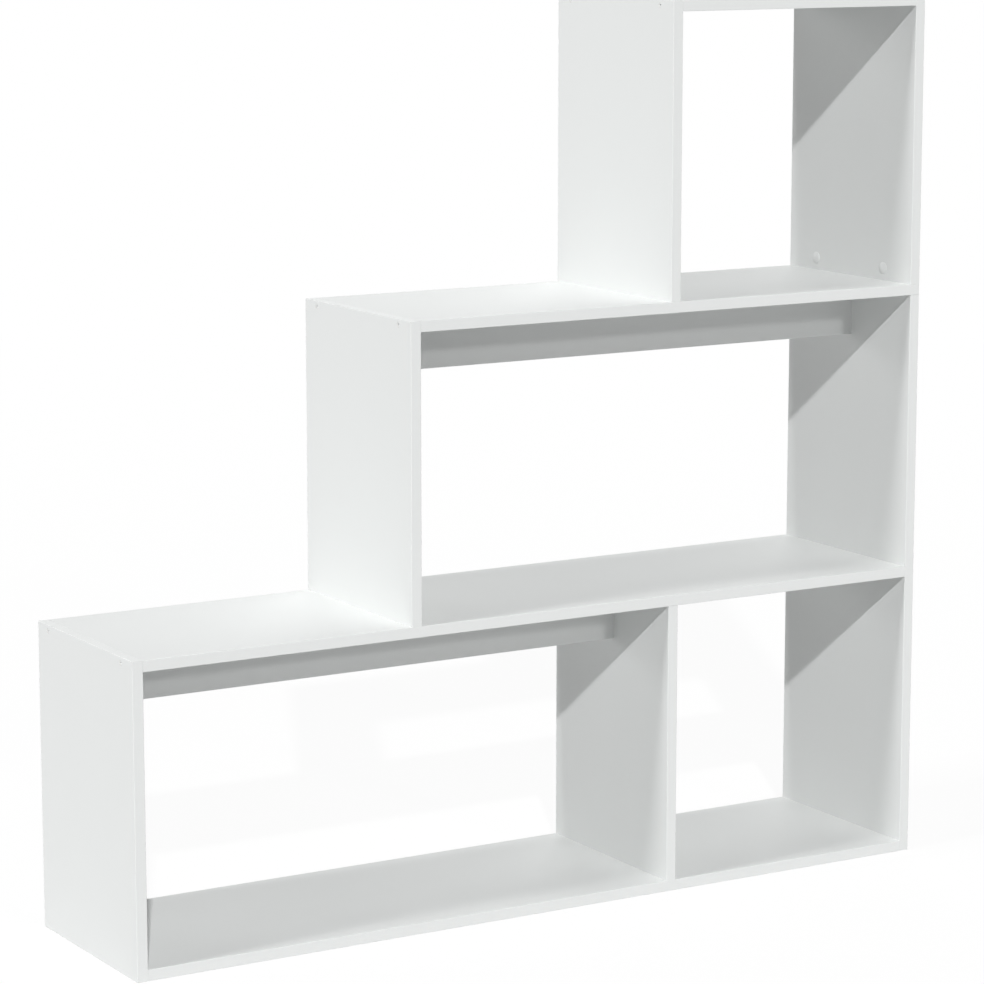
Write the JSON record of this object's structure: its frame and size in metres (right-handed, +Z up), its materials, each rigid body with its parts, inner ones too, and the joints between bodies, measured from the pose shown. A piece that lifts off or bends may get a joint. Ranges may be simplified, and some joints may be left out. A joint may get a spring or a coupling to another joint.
{
  "type": "room divider bookcase",
  "caption": "Stair-stepped room divider bookcase in white faced board, open at front and back, with square bays that rise to one side and stiffening rails under the wide shelves.",
  "frame": {"origin": "on the floor, under the middle of the bookcase's overall box", "axes": "+Z up, +X towards the tall end, +Y from the front to the back"},
  "size_m": [1.224, 0.29, 1.224],
  "materials": {
    "faced_board": "white melamine facing on particle board, satin",
    "edge_strip": "white plastic edge strip, satin",
    "screw": "zinc-plated steel with a hexagon socket, head lacquered white",
    "cam": "die-cast zinc alloy, matt",
    "cam_bolt": "zinc-plated steel",
    "cam_cap": "white moulded plastic, satin",
    "dowel": "plain beech"
  },
  "bodies": {
    "root": {"base_board": "faced_board", "base_board_edging": "edge_strip", "base_cam_bolts": "cam_bolt", "base_cams": "cam", "divider_foot_screws": "screw", "divider_head_cam_bolts": "cam_bolt", "divider_head_cam_caps": "cam_cap", "divider_head_cams": "cam", "lower_divider": "faced_board", "lower_divider_edging": "edge_strip", "lower_dowels": "dowel", "lower_left_screws": "screw", "lower_left_side": "faced_board", "lower_left_side_edging": "edge_strip", "lower_rail": "faced_board", "lower_rail_cam_bolts": "cam_bolt", "lower_rail_cam_caps": "cam_cap", "lower_rail_cams": "cam", "lower_rail_edging": "edge_strip", "lower_right_screws": "screw", "lower_right_side": "faced_board", "lower_right_side_edging": "edge_strip", "lower_shelf": "faced_board", "lower_shelf_edging": "edge_strip", "middle_dowels": "dowel", "middle_left_foot_cam_bolts": "cam_bolt", "middle_left_foot_cam_caps": "cam_cap", "middle_left_foot_cams": "cam", "middle_left_screws": "screw", "middle_left_side": "faced_board", "middle_left_side_edging": "edge_strip", "middle_rail": "faced_board", "middle_rail_cam_bolts": "cam_bolt", "middle_rail_cam_caps": "cam_cap", "middle_rail_cams": "cam", "middle_rail_edging": "edge_strip", "middle_right_screws": "screw", "middle_shelf": "faced_board", "middle_shelf_edging": "edge_strip", "top_board": "faced_board", "top_board_edging": "edge_strip", "upper_dowels": "dowel", "upper_left_foot_cam_bolts": "cam_bolt", "upper_left_foot_cam_caps": "cam_cap", "upper_left_foot_cams": "cam", "upper_left_screws": "screw", "upper_left_side": "faced_board", "upper_left_side_edging": "edge_strip", "upper_right_foot_cam_bolts": "cam_bolt", "upper_right_foot_cam_caps": "cam_cap", "upper_right_foot_cams": "cam", "upper_right_screws": "screw", "upper_right_side": "faced_board", "upper_right_side_edging": "edge_strip"}
  },
  "joints": []
}
